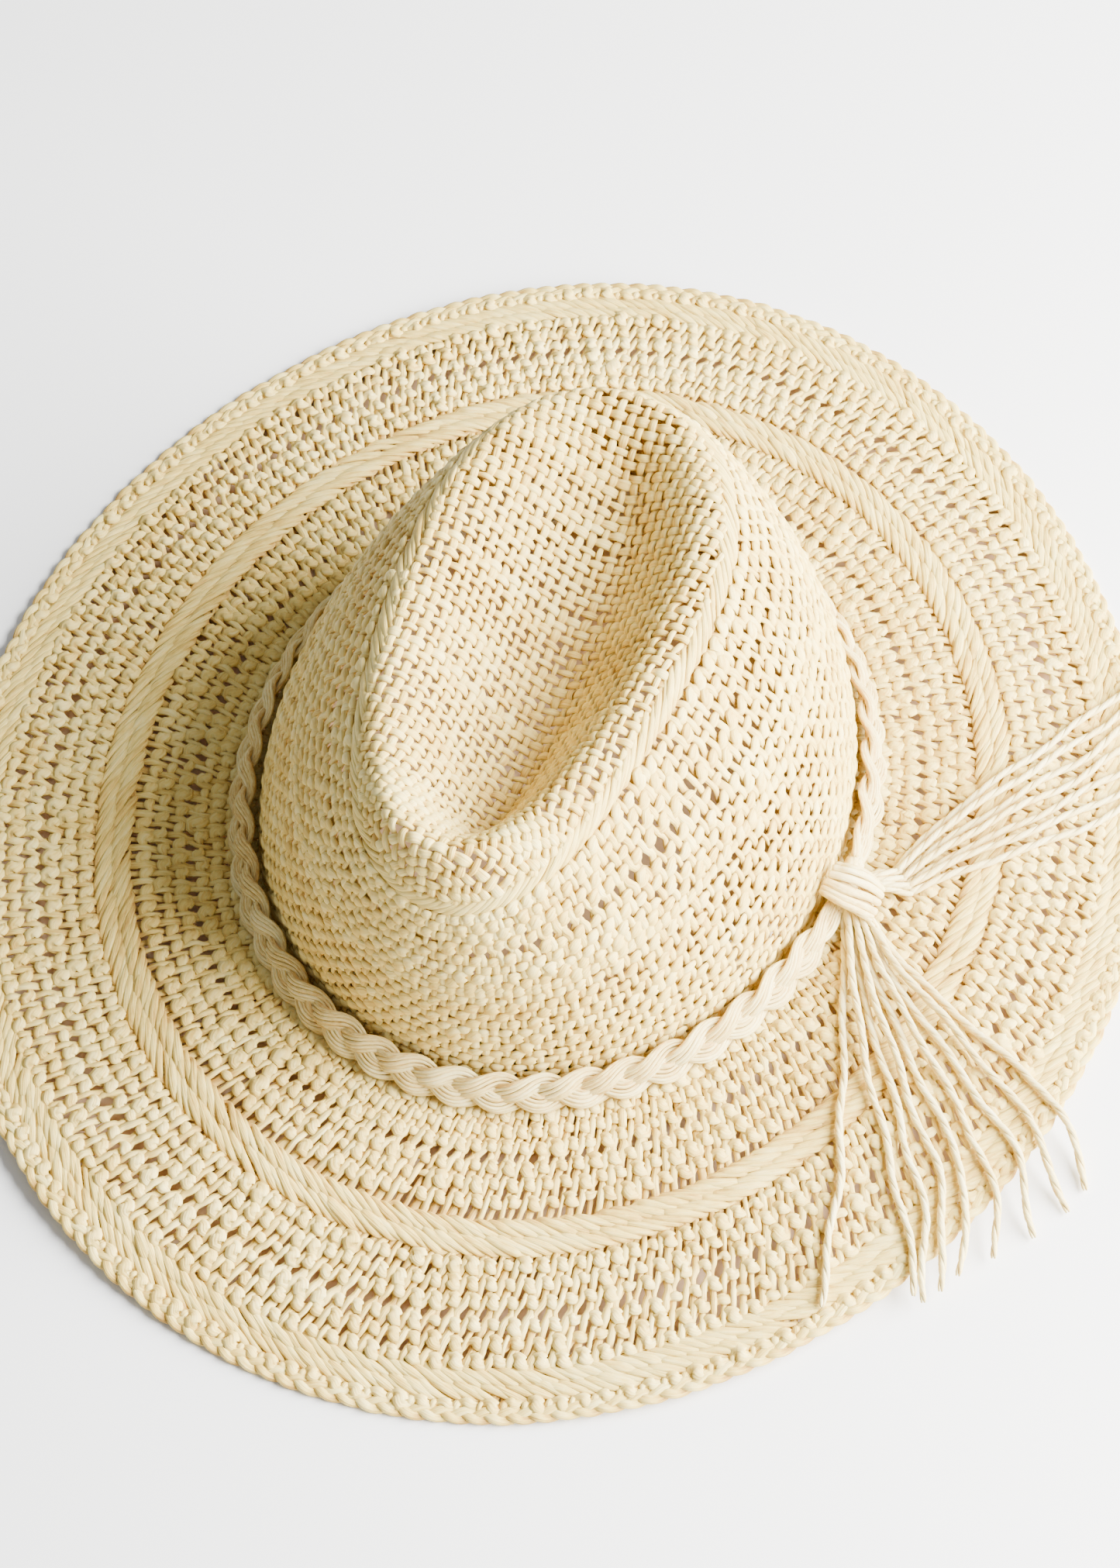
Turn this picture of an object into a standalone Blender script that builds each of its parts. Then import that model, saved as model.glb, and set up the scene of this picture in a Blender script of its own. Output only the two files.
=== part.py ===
"""Straw sun hat: a woven crown and brim, a sweatband, and a plaited band tied in a knot with two tassels.

Frame: +Z up, the front of the hat towards -Y, the wearer's left towards +X. The origin is on the surface
that the brim rests on, at the middle of the brim. All lengths are in metres.
"""

import math

import bmesh
import bpy
from mathutils import Vector

# Brim: an oval outside, and the crown's oval inside
BRIM_HALF_WIDTH = 0.180
BRIM_HALF_LENGTH = 0.204
WEAVE = 0.0018                 # thickness of the woven straw
ROOT_HEIGHT = 0.005            # top of the brim where it meets the crown
BRIM_ARCH = 0.0036             # how far the middle of the brim arches up
SELVEDGE_START = 0.96          # share of the brim's width where the level plaited edge begins
EDGE_WAVE = 0.0026             # half the height of the edge's three soft waves
WAVE_FLAT = 0.00035            # the waves' lowest part is cut flat by the surface below
WAVE_CREST = math.radians(216)
BRIM_SHARES = (0.0, 0.12, 0.3, 0.5, 0.7, 0.86, SELVEDGE_START, 1.0)
BRIM_COLUMNS = 60

# Crown: an oval base that tapers up to a teardrop ridge around a lengthwise dent
CROWN_HALF_WIDTH = 0.088
CROWN_HALF_LENGTH = 0.104
CROWN_SHIFT = 0.004            # the crown stands this far behind the brim's middle
CROWN_BASE = 0.0053            # lower rim of the crown, just clear of the brim
RIDGE_SHIFT = (-0.0068, 0.0005)
RIDGE_LEAN = 0.003             # how far the ridge's front end leans to the wearer's left
RIDGE_HALF_WIDTH = 0.037
RIDGE_HALF_LENGTH = 0.0825
RIDGE_TEARDROP = 0.2           # how much wider the back of the ridge is than its front
RIDGE_FULLNESS = 0.03          # how far the ridge's corners stand out from an oval
RIDGE_HEIGHT = 0.100
FRONT_RISE = 0.003             # the ridge's front tip stands this much higher
RIDGE_ROLL = 0.12              # share of the wall that rolls over into the ridge
DENT_HALF_LENGTH = 0.052
DENT_SHIFT = 0.009             # the dent's valley lies this far to the wearer's left of the ridge's middle
DENT_DEPTH = 0.023
DENT_VARIATION = 0.007         # deeper in front, shallower behind
CROWN_COLUMNS = 44
WALL_SHARES = (0.0, 0.18, 0.36, 0.54, 0.7, 0.82, 0.91, 1.0)
TOP_SHARES = (0.15, 0.35, 0.58, 0.8)

# Sweatband and the thread that sews it in
SWEATBAND_LOW = 0.007
SWEATBAND_HIGH = 0.035
SWEATBAND_GAP = 0.0011
SWEATBAND_THICKNESS = 0.0009
STITCH_RADIUS = 0.0003
STITCH_GAP = 0.0005
STITCH_HEIGHT = 0.010

# Plaited band: three strands around the foot of the crown
STRAND_RADIUS = 0.0014
STRAND_SWING = 0.0050          # up and down
STRAND_DEPTH = 0.0026          # in and out
STRAND_LEAN = 0.0022           # the plait's foot stands this much further out than its middle
BAND_OFFSET = 0.0055           # from the crown's wall to the middle of the band
BAND_HEIGHT = 0.0124           # middle of the band
BAND_CYCLES = 16
BAND_STEPS = 8                 # points in each cycle
BAND_START = 2                 # first and last step, either side of the knot
BAND_END = BAND_CYCLES * BAND_STEPS - 3

# Knot: one end of the band crosses over the other
KNOT_RADIUS = 0.0036
KNOT_OVER = ((0.0886, -0.0030, 0.0212), (0.0938, -0.0024, 0.0220), (0.0996, 0.0004, 0.0184),
             (0.1040, 0.0034, 0.0130))
KNOT_UNDER = ((0.0926, -0.0070, 0.0104), (0.0936, -0.0005, 0.0108), (0.0930, 0.0108, 0.0104))

# Loose yarns: the plaited band's ends, undone, in two tassels. Each route is where the yarn lies, seen from
# above; its height comes from the brim below it, and from the surface beyond the brim's edge.
YARN_RADIUS = 0.0009
YARN_STEP = 0.006
YARN_CLEARANCE = 0.0006        # from the brim to the yarn's underside
YARN_LAYER = 0.0022            # the upper layer of a tassel lies this far above the lower one
LAYER_RUN = (0.035, 0.065)     # the upper layer comes down to the brim between these lengths
DROOP_RUN = 0.016              # beyond the edge a yarn comes down to the surface in this distance
YARN_FLOOR = 0.0012            # lowest middle height of a yarn
YARN_SWAY = 0.0008             # the yarns' slight waves, seen from above
SWAY_LENGTH = 0.036
SWAY_START = 0.070             # full sway is reached this far from the knot
SWAY_TURN = 2.1                # the waves' shift from one yarn to the next, in radians
FRONT_YARNS = (
    ((0.0972, -0.0100), (0.1030, -0.0260), (0.1090, -0.0440), (0.1160, -0.0640), (0.1230, -0.0860),
     (0.1280, -0.1070), (0.1320, -0.1270)),
    ((0.0984, -0.0095), (0.1050, -0.0250), (0.1130, -0.0410), (0.1235, -0.0590), (0.1345, -0.0760),
     (0.1450, -0.0925), (0.1560, -0.1130)),
    ((0.0996, -0.0091), (0.1070, -0.0240), (0.1160, -0.0385), (0.1270, -0.0545), (0.1380, -0.0705),
     (0.1490, -0.0875), (0.1585, -0.1135)),
    ((0.1007, -0.0087), (0.1085, -0.0225), (0.1180, -0.0360), (0.1300, -0.0515), (0.1420, -0.0665),
     (0.1532, -0.0820), (0.1612, -0.1085)),
    ((0.1018, -0.0083), (0.1100, -0.0210), (0.1205, -0.0335), (0.1330, -0.0475), (0.1460, -0.0615),
     (0.1580, -0.0765), (0.1648, -0.1020)),
    ((0.1029, -0.0079), (0.1115, -0.0196), (0.1230, -0.0310), (0.1365, -0.0435), (0.1510, -0.0570),
     (0.1640, -0.0712), (0.1730, -0.0920)),
    ((0.1040, -0.0075), (0.1130, -0.0180), (0.1255, -0.0282), (0.1400, -0.0390), (0.1550, -0.0500),
     (0.1690, -0.0620), (0.1810, -0.0810)),
    ((0.1051, -0.0071), (0.1145, -0.0163), (0.1280, -0.0250), (0.1430, -0.0335), (0.1585, -0.0430),
     (0.1725, -0.0530), (0.1870, -0.0700)),
    ((0.1062, -0.0067), (0.1160, -0.0145), (0.1300, -0.0215), (0.1455, -0.0285), (0.1615, -0.0355),
     (0.1765, -0.0430), (0.1900, -0.0610)),
)
SIDE_YARNS = (
    ((0.1046, 0.0140), (0.1098, 0.0300), (0.1185, 0.0480), (0.1295, 0.0690),
     (0.1405, 0.0890), (0.1530, 0.1170)),
    ((0.1057, 0.0131), (0.1116, 0.0282), (0.1208, 0.0451), (0.1323, 0.0650),
     (0.1435, 0.0842), (0.1562, 0.1107)),
    ((0.1068, 0.0121), (0.1134, 0.0263), (0.1232, 0.0422), (0.1352, 0.0610),
     (0.1465, 0.0793), (0.1593, 0.1043)),
    ((0.1079, 0.0112), (0.1152, 0.0245), (0.1255, 0.0393), (0.1380, 0.0570),
     (0.1495, 0.0745), (0.1625, 0.0980)),
    ((0.1090, 0.0103), (0.1169, 0.0227), (0.1278, 0.0363), (0.1408, 0.0530),
     (0.1525, 0.0697), (0.1657, 0.0917)),
    ((0.1101, 0.0093), (0.1187, 0.0208), (0.1302, 0.0334), (0.1437, 0.0490),
     (0.1555, 0.0648), (0.1688, 0.0853)),
    ((0.1112, 0.0084), (0.1205, 0.0190), (0.1325, 0.0305), (0.1465, 0.0450),
     (0.1585, 0.0600), (0.1720, 0.0790)),
)

STRAW = ("straw", (0.86, 0.77, 0.58, 1.0), 0.72)
CREAM_STRAW = ("band_straw", (0.90, 0.84, 0.70, 1.0), 0.60)
RIBBON = ("ribbon", (0.80, 0.72, 0.57, 1.0), 0.90)
THREAD = ("thread", (0.88, 0.83, 0.72, 1.0), 0.80)


def clear_scene():
    """Start from nothing."""
    for old in list(bpy.data.objects):
        bpy.data.objects.remove(old, do_unlink=True)


def new_collection(name):
    """A collection for the hat's parts."""
    group = bpy.data.collections.new(name)
    bpy.context.scene.collection.children.link(group)
    return group


def material(finish):
    """The Principled material of one finish, made once."""
    name, color, roughness = finish
    found = bpy.data.materials.get(name)
    if found:
        return found
    made = bpy.data.materials.new(name)
    made.use_nodes = True
    shader = made.node_tree.nodes["Principled BSDF"]
    shader.inputs["Base Color"].default_value = color
    shader.inputs["Roughness"].default_value = roughness
    shader.inputs["Metallic"].default_value = 0.0
    return made


def turn(columns):
    """Evenly spaced angles once around the hat; 0 is the wearer's left and -90 degrees the front."""
    return [2 * math.pi * k / columns for k in range(columns)]


def edge_lift(angle):
    """Height of the brim's underside at its edge: three soft waves between three flat rests."""
    return max(0.0, EDGE_WAVE * (1 + math.cos(3 * (angle - WAVE_CREST))) - WAVE_FLAT)


def brim_oval(angle, share):
    """A point of the brim in plan, share 0 at the crown and 1 at the edge."""
    half_width = CROWN_HALF_WIDTH + (BRIM_HALF_WIDTH - CROWN_HALF_WIDTH) * share
    half_length = CROWN_HALF_LENGTH + (BRIM_HALF_LENGTH - CROWN_HALF_LENGTH) * share
    shift = CROWN_SHIFT * (1 - share)
    return half_width * math.cos(angle), shift + half_length * math.sin(angle)


def brim_underside(angle, share):
    """Height of the brim's underside."""
    run = min(1.0, max(0.0, share / SELVEDGE_START))
    arch = BRIM_ARCH * math.sin(math.pi * run) * (1 - 0.3 * run)
    return (ROOT_HEIGHT - WEAVE) * (1 - run) + arch + edge_lift(angle) * run ** 2


def brim_place(x, y):
    """The angle and share of the brim at a point in plan; the share passes 1 beyond the edge."""
    low, high = -0.2, 2.0
    for _ in range(40):
        share = (low + high) / 2
        half_width = CROWN_HALF_WIDTH + (BRIM_HALF_WIDTH - CROWN_HALF_WIDTH) * share
        half_length = CROWN_HALF_LENGTH + (BRIM_HALF_LENGTH - CROWN_HALF_LENGTH) * share
        across = x / half_width
        along = (y - CROWN_SHIFT * (1 - share)) / half_length
        if across ** 2 + along ** 2 > 1:
            low = share
        else:
            high = share
    return math.atan2(along, across), share


def ridge_point(angle):
    """A point of the teardrop ridge."""
    fullness = 1 + RIDGE_FULLNESS * math.sin(2 * angle) ** 2
    half_width = RIDGE_HALF_WIDTH * (1 + RIDGE_TEARDROP * math.sin(angle)) * fullness
    x = RIDGE_SHIFT[0] - RIDGE_LEAN * math.sin(angle) + half_width * math.cos(angle)
    y = RIDGE_SHIFT[1] + RIDGE_HALF_LENGTH * fullness * math.sin(angle)
    return Vector((x, y, RIDGE_HEIGHT + FRONT_RISE * max(0.0, -math.sin(angle)) ** 2))


def wall_point(angle, share, inset=0.0):
    """A point of the crown's wall, share 0 at the base and 1 on the ridge, or of a wall inset from it."""
    ridge = ridge_point(angle)
    bulge = 2.0 + 0.22 * math.cos(angle - math.radians(40))
    lean = share ** bulge
    base_x = (CROWN_HALF_WIDTH - inset) * math.cos(angle)
    base_y = CROWN_SHIFT + (CROWN_HALF_LENGTH - inset) * math.sin(angle)
    roll = max(0.0, (share - (1 - RIDGE_ROLL)) / RIDGE_ROLL)
    rise = (share - 0.5 * RIDGE_ROLL * roll ** 2) / (1 - 0.5 * RIDGE_ROLL)
    x = (1 - lean) * base_x + lean * ridge.x
    y = (1 - lean) * base_y + lean * ridge.y
    return Vector((x, y, CROWN_BASE + (ridge.z - CROWN_BASE) * rise))


def top_point(angle, share):
    """A point of the crown's dented top, share 0 on the ridge and 1 along the dent's valley."""
    ridge = ridge_point(angle)
    valley_y = RIDGE_SHIFT[1] - 0.002 + DENT_HALF_LENGTH * math.sin(angle)
    valley_x = RIDGE_SHIFT[0] + DENT_SHIFT - 0.04 * valley_y
    depth = DENT_DEPTH + DENT_VARIATION * math.cos(math.pi * (valley_y + 0.020) / 0.095)
    sink = share ** 2 * (3 - 2 * share)
    x = (1 - share) * ridge.x + share * valley_x
    y = (1 - share) * ridge.y + share * valley_y
    return Vector((x, y, ridge.z - depth * sink))


def add_mesh(name, finish, group, shaper, sharp_angle=40):
    """A new mesh object whose faces the shaper function adds to an empty bmesh."""
    bm = bmesh.new()
    shaper(bm)
    bmesh.ops.recalc_face_normals(bm, faces=bm.faces)
    mesh = bpy.data.meshes.new(name)
    bm.to_mesh(mesh)
    bm.free()
    mesh.shade_smooth()
    mesh.set_sharp_from_angle(angle=math.radians(sharp_angle))
    obj = bpy.data.objects.new(name, mesh)
    obj.data.materials.append(material(finish))
    group.objects.link(obj)
    return obj


def loft(bm, rings, wrap):
    """Skin successive rings of points with quads; wrap joins the last ring to the first."""
    rows = [[bm.verts.new(point) for point in ring] for ring in rings]
    pairs = list(zip(rows, rows[1:]))
    if wrap:
        pairs.append((rows[-1], rows[0]))
    for lower, upper in pairs:
        count = len(lower)
        for k in range(count):
            nxt = (k + 1) % count
            bm.faces.new((lower[k], lower[nxt], upper[nxt], upper[k]))
    return rows


def add_tube(name, finish, group, points, radius, sides_resolution, closed=False):
    """A round tube along a list of points."""
    curve = bpy.data.curves.new(name, "CURVE")
    curve.dimensions = "3D"
    curve.bevel_depth = radius
    curve.bevel_resolution = sides_resolution
    curve.use_fill_caps = not closed
    spline = curve.splines.new("POLY")
    spline.points.add(len(points) - 1)
    for control, point in zip(spline.points, points):
        control.co = (*point, 1.0)
    spline.use_cyclic_u = closed
    obj = bpy.data.objects.new(name, curve)
    obj.data.materials.append(material(finish))
    group.objects.link(obj)
    return obj


def smooth_points(route, step):
    """Points a step apart along a smooth curve through the route's points."""
    ends = [2 * route[0] - route[1]] + list(route) + [2 * route[-1] - route[-2]]
    fine = []
    for a, b, c, d in zip(ends, ends[1:], ends[2:], ends[3:]):
        for k in range(24):
            t = k / 24
            fine.append(0.5 * (2 * b + (c - a) * t + (2 * a - 5 * b + 4 * c - d) * t ** 2
                               + (3 * b - a - 3 * c + d) * t ** 3))
    fine.append(route[-1])
    lengths = [0.0]
    for a, b in zip(fine, fine[1:]):
        lengths.append(lengths[-1] + (b - a).length)
    count = max(2, round(lengths[-1] / step))
    points = []
    place = 0
    for k in range(count + 1):
        target = lengths[-1] * k / count
        while place < len(fine) - 2 and lengths[place + 1] < target:
            place += 1
        span = lengths[place + 1] - lengths[place]
        points.append(fine[place].lerp(fine[place + 1], (target - lengths[place]) / span))
    return points


def add_brim(group):
    """The woven brim: one closed section swept around the crown's oval."""
    def shape(bm):
        rings = []
        for share in BRIM_SHARES:
            ring = [(*brim_oval(a, share), brim_underside(a, share) + WEAVE) for a in turn(BRIM_COLUMNS)]
            rings.append(ring)
        for share in reversed(BRIM_SHARES):
            rings.append([(*brim_oval(a, share), brim_underside(a, share)) for a in turn(BRIM_COLUMNS)])
        loft(bm, rings, wrap=True)
    add_mesh("brim", STRAW, group, shape)


def add_crown(group):
    """The woven crown: an open-bottomed shell with its dent, given its thickness inwards."""
    def shape(bm):
        angles = turn(CROWN_COLUMNS)
        rings = [[wall_point(a, share) for a in angles] for share in WALL_SHARES]
        rings += [[top_point(a, share) for a in angles] for share in TOP_SHARES]
        inner = loft(bm, rings, wrap=False)[-1]
        quarter = CROWN_COLUMNS // 4
        for k in range(-quarter, quarter):
            left = [CROWN_COLUMNS // 2 - k, CROWN_COLUMNS // 2 - k - 1]
            corners = [inner[k], inner[k + 1], inner[left[1]], inner[left[0]]]
            unique = list(dict.fromkeys(corners))
            bm.faces.new(unique)
    crown = add_mesh("crown", STRAW, group, shape)
    shell = crown.modifiers.new("woven thickness", "SOLIDIFY")
    shell.thickness = WEAVE
    shell.offset = -1.0
    shell.use_even_offset = True


def add_sweatband(group):
    """The ribbon inside the crown's foot, and the thread that sews it in."""
    def wall_share(height):
        rise = (height - CROWN_BASE) / (RIDGE_HEIGHT - CROWN_BASE)
        return rise * (1 - 0.5 * RIDGE_ROLL)

    outer = WEAVE + SWEATBAND_GAP
    inner = outer + SWEATBAND_THICKNESS
    heights = (SWEATBAND_LOW, (SWEATBAND_LOW + SWEATBAND_HIGH) / 2, SWEATBAND_HIGH)

    def shape(bm):
        angles = turn(CROWN_COLUMNS)
        rings = [[wall_point(a, wall_share(h), outer) for a in angles] for h in heights]
        rings += [[wall_point(a, wall_share(h), inner) for a in angles] for h in reversed(heights)]
        loft(bm, rings, wrap=True)
    add_mesh("sweatband", RIBBON, group, shape)

    stitch_inset = inner + STITCH_GAP + STITCH_RADIUS
    share = wall_share(STITCH_HEIGHT)
    points = [wall_point(a, share, stitch_inset) for a in turn(CROWN_COLUMNS)]
    add_tube("sweatband_stitching", THREAD, group, points, STITCH_RADIUS, 0, closed=True)


def add_band(group):
    """Three plaited strands around the crown, open where they run into the knot."""
    half_width = CROWN_HALF_WIDTH + BAND_OFFSET
    half_length = CROWN_HALF_LENGTH + BAND_OFFSET
    for strand in range(3):
        points = []
        for step in range(BAND_START, BAND_END + 1):
            phase = 2 * math.pi * (step / BAND_STEPS + strand / 3)
            angle = 2 * math.pi * step / (BAND_CYCLES * BAND_STEPS)
            out = STRAND_DEPTH * math.sin(2 * phase) - STRAND_LEAN * math.sin(phase)
            x = (half_width + out) * math.cos(angle)
            y = CROWN_SHIFT + (half_length + out) * math.sin(angle)
            points.append((x, y, BAND_HEIGHT + STRAND_SWING * math.sin(phase)))
        add_tube(f"band_strand_{strand + 1}", CREAM_STRAW, group, points, STRAND_RADIUS, 1)


def add_knot(group):
    """The band's two ends, one crossing over the other."""
    for name, route in (("knot_over", KNOT_OVER), ("knot_under", KNOT_UNDER)):
        points = smooth_points([Vector(p) for p in route], 0.003)
        add_tube(name, CREAM_STRAW, group, points, KNOT_RADIUS, 2)


def yarn_height(x, y, travelled, upper):
    """Middle height of a yarn that lies on the brim, or comes down beyond its edge."""
    angle, share = brim_place(x, y)
    on_brim = brim_underside(angle, min(share, 1.0)) + WEAVE + YARN_CLEARANCE + YARN_RADIUS
    if share > 1:
        beyond = (share - 1) * (BRIM_HALF_WIDTH - CROWN_HALF_WIDTH) / DROOP_RUN
        fall = min(1.0, beyond) ** 2 * (3 - 2 * min(1.0, beyond))
        on_brim += (YARN_FLOOR - on_brim) * fall
    if upper:
        start, end = LAYER_RUN
        settled = min(1.0, max(0.0, (travelled - start) / (end - start)))
        on_brim += YARN_LAYER * (1 - settled ** 2 * (3 - 2 * settled))
    return on_brim


def yarn_points(route, number):
    """A yarn's middle line. Every second yarn starts in the tassel's upper layer."""
    plan = smooth_points([Vector((x, y, 0.0)) for x, y in route], YARN_STEP)
    points = []
    for k, point in enumerate(plan):
        travelled = YARN_STEP * k
        heading = plan[min(k + 1, len(plan) - 1)] - plan[max(k - 1, 0)]
        aside = Vector((-heading.y, heading.x, 0.0)).normalized()
        swing = math.sin(2 * math.pi * travelled / SWAY_LENGTH + SWAY_TURN * number)
        place = point + aside * (YARN_SWAY * min(1.0, travelled / SWAY_START) * swing)
        points.append((place.x, place.y, yarn_height(place.x, place.y, travelled, number % 2 == 1)))
    return points


def add_yarns(group):
    """The loose yarns of both tassels."""
    for prefix, routes in (("front_yarn", FRONT_YARNS), ("side_yarn", SIDE_YARNS)):
        for number, route in enumerate(routes):
            name = f"{prefix}_{number + 1}"
            add_tube(name, CREAM_STRAW, group, yarn_points(route, number), YARN_RADIUS, 2)


def main():
    clear_scene()
    hat = new_collection("straw_sun_hat")
    add_brim(hat)
    add_crown(hat)
    add_sweatband(hat)
    add_band(hat)
    add_knot(hat)
    add_yarns(hat)


main()
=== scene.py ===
"""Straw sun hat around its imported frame: the weave, the plaited band, its knot and tassels, and the sweatband.

Frame: +Z up, the front of the hat towards -Y, the wearer's left towards +X, in metres.
"""

import math

import bpy
import numpy as np
from mathutils import Matrix, Vector
from mathutils.bvhtree import BVHTree


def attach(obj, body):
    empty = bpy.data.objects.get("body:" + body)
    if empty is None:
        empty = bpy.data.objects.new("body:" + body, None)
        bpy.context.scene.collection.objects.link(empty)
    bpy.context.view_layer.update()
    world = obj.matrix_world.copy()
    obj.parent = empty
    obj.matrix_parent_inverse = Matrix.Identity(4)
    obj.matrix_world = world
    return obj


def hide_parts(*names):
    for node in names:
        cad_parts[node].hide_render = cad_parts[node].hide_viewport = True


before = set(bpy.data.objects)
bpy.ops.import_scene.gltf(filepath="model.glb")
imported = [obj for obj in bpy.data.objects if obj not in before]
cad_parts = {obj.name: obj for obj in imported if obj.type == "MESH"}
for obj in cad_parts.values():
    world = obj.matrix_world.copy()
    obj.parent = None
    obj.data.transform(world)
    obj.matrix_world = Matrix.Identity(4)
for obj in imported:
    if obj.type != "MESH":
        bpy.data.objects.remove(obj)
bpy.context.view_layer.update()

TAU = 2 * math.pi
PI = math.pi

# --- Shape of the hat, as in the CAD script
BRIM_HALF_WIDTH = 0.180
BRIM_HALF_LENGTH = 0.204
WEAVE = 0.0018
ROOT_HEIGHT = 0.005
BRIM_ARCH = 0.0036
SELVEDGE_START = 0.96
EDGE_WAVE = 0.0026
WAVE_FLAT = 0.00035
WAVE_CREST = math.radians(216)
CROWN_HALF_WIDTH = 0.088
CROWN_HALF_LENGTH = 0.104
CROWN_SHIFT = 0.004
CROWN_BASE = 0.0053
RIDGE_SHIFT = (-0.0068, 0.0005)
RIDGE_LEAN = 0.003
RIDGE_HALF_WIDTH = 0.037
RIDGE_HALF_LENGTH = 0.0825
RIDGE_TEARDROP = 0.2
RIDGE_FULLNESS = 0.03
RIDGE_HEIGHT = 0.100
FRONT_RISE = 0.003
RIDGE_ROLL = 0.12
DENT_HALF_LENGTH = 0.052
DENT_SHIFT = 0.009
DENT_DEPTH = 0.023
DENT_VARIATION = 0.007
SWEATBAND_LOW = 0.007
SWEATBAND_HIGH = 0.035
SWEATBAND_GAP = 0.0011
SWEATBAND_THICKNESS = 0.0009
STITCH_RADIUS = 0.0003
STITCH_GAP = 0.0005
STITCH_HEIGHT = 0.010
STRAND_SWING = 0.0050
STRAND_DEPTH = 0.0026
STRAND_LEAN = 0.0022
BAND_OFFSET = 0.0055
BAND_HEIGHT = 0.0124
BAND_CYCLES = 16
BAND_STEPS = 8
BAND_START = 2
BAND_END = BAND_CYCLES * BAND_STEPS - 3
KNOT_OVER = ((0.0886, -0.0030, 0.0212), (0.0938, -0.0024, 0.0220), (0.0996, 0.0004, 0.0184),
             (0.1040, 0.0034, 0.0130))
KNOT_UNDER = ((0.0926, -0.0070, 0.0104), (0.0936, -0.0005, 0.0108), (0.0930, 0.0108, 0.0104))
YARN_RADIUS = 0.0009
YARN_STEP = 0.006
YARN_CLEARANCE = 0.0006
YARN_LAYER = 0.0022
LAYER_RUN = (0.035, 0.065)
DROOP_RUN = 0.016
YARN_FLOOR = 0.0012
YARN_SWAY = 0.0008
SWAY_LENGTH = 0.036
SWAY_START = 0.070
SWAY_TURN = 2.1
# Routes in plan, in tenths of a millimetre
FRONT_YARNS = (
    ((972, -100), (1030, -260), (1090, -440), (1160, -640), (1230, -860), (1280, -1070), (1320, -1270)),
    ((984, -95), (1050, -250), (1130, -410), (1235, -590), (1345, -760), (1450, -925), (1560, -1130)),
    ((996, -91), (1070, -240), (1160, -385), (1270, -545), (1380, -705), (1490, -875), (1585, -1135)),
    ((1007, -87), (1085, -225), (1180, -360), (1300, -515), (1420, -665), (1532, -820), (1612, -1085)),
    ((1018, -83), (1100, -210), (1205, -335), (1330, -475), (1460, -615), (1580, -765), (1648, -1020)),
    ((1029, -79), (1115, -196), (1230, -310), (1365, -435), (1510, -570), (1640, -712), (1730, -920)),
    ((1040, -75), (1130, -180), (1255, -282), (1400, -390), (1550, -500), (1690, -620), (1810, -810)),
    ((1051, -71), (1145, -163), (1280, -250), (1430, -335), (1585, -430), (1725, -530), (1870, -700)),
    ((1062, -67), (1160, -145), (1300, -215), (1455, -285), (1615, -355), (1765, -430), (1900, -610)),
)
SIDE_YARN_FIRST = ((1046, 140), (1098, 300), (1185, 480), (1295, 690), (1405, 890), (1530, 1170))
SIDE_YARN_LAST = ((1112, 84), (1205, 190), (1325, 305), (1465, 450), (1585, 600), (1720, 790))
SIDE_YARNS = [[tuple(int(a + (b - a) * k / 6 + 0.5) for a, b in zip(*pair))
               for pair in zip(SIDE_YARN_FIRST, SIDE_YARN_LAST)] for k in range(7)]

# --- The weave: rows run around the hat, and warps run from the crown out to the edge
BRIM_SKEW = -0.2               # how far a warp turns around the hat from the crown to the edge, in radians
BRIM_INNER_WARPS = 288
BRIM_OUTER_WARPS = 348
CROWN_WARPS = 176
# Each band: kind, then its share of the brim's width (a rope also has its width in metres)
BRIM_INNER_BANDS = (("row", -0.005), ("row", 0.034), ("row", 0.086), ("row", 0.140), ("row", 0.193),
                    ("holes", 0.224), ("row", 0.256), ("row", 0.310), ("row", 0.366),
                    ("under", 0.424), ("under", 0.470))
BRIM_OUTER_BANDS = (("under", 0.470), ("under", 0.506), ("row", 0.552), ("row", 0.606), ("row", 0.658),
                    ("holes", 0.689), ("row", 0.720), ("row", 0.773), ("row", 0.826),
                    ("under", 0.860), ("under", 0.925), ("row", 0.944), ("under", 0.975))
CROWN_LOW_BANDS = tuple(("row", 0.006 + 0.0428 * k) for k in range(14))
CROWN_HIGH_BANDS = (("row", 0.5624), ("row", 0.5982), ("row", 0.634), ("row", 0.677), ("row", 0.720),
                    ("holes", 0.754), ("row", 0.788), ("row", 0.832), ("row", 0.876), ("row", 0.920),
                    ("under", 0.950), ("under", 0.985))


# --- Surfaces
def unit(vectors):
    """Vectors of length 1."""
    return vectors / np.maximum(np.linalg.norm(vectors, axis=-1, keepdims=True), 1e-12)


def run_along(line):
    """The length from a line's start to each of its points."""
    return np.concatenate([[0], np.cumsum(np.linalg.norm(np.diff(line, axis=0), axis=1))])


def sides_of(line, outward):
    """Directions beside a line, and out from it."""
    tangent = unit(np.gradient(line, axis=0))
    side = unit(np.cross(tangent, outward))
    return side, np.cross(side, tangent)


def eased(t):
    """0 to 1 with level ends."""
    t = np.clip(t, 0.0, 1.0)
    return t * t * (3 - 2 * t)


def edge_lift(angle):
    return np.maximum(0.0, EDGE_WAVE * (1 + np.cos(3 * (angle - WAVE_CREST))) - WAVE_FLAT)


def brim_underside(angle, share):
    run = np.clip(share / SELVEDGE_START, 0.0, 1.0)
    arch = BRIM_ARCH * np.sin(PI * run) * (1 - 0.3 * run)
    return (ROOT_HEIGHT - WEAVE) * (1 - run) + arch + edge_lift(angle) * run ** 2


def brim_oval(share):
    """The brim's half width and half length at a share of its width."""
    return (CROWN_HALF_WIDTH + (BRIM_HALF_WIDTH - CROWN_HALF_WIDTH) * share,
            CROWN_HALF_LENGTH + (BRIM_HALF_LENGTH - CROWN_HALF_LENGTH) * share)


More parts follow.
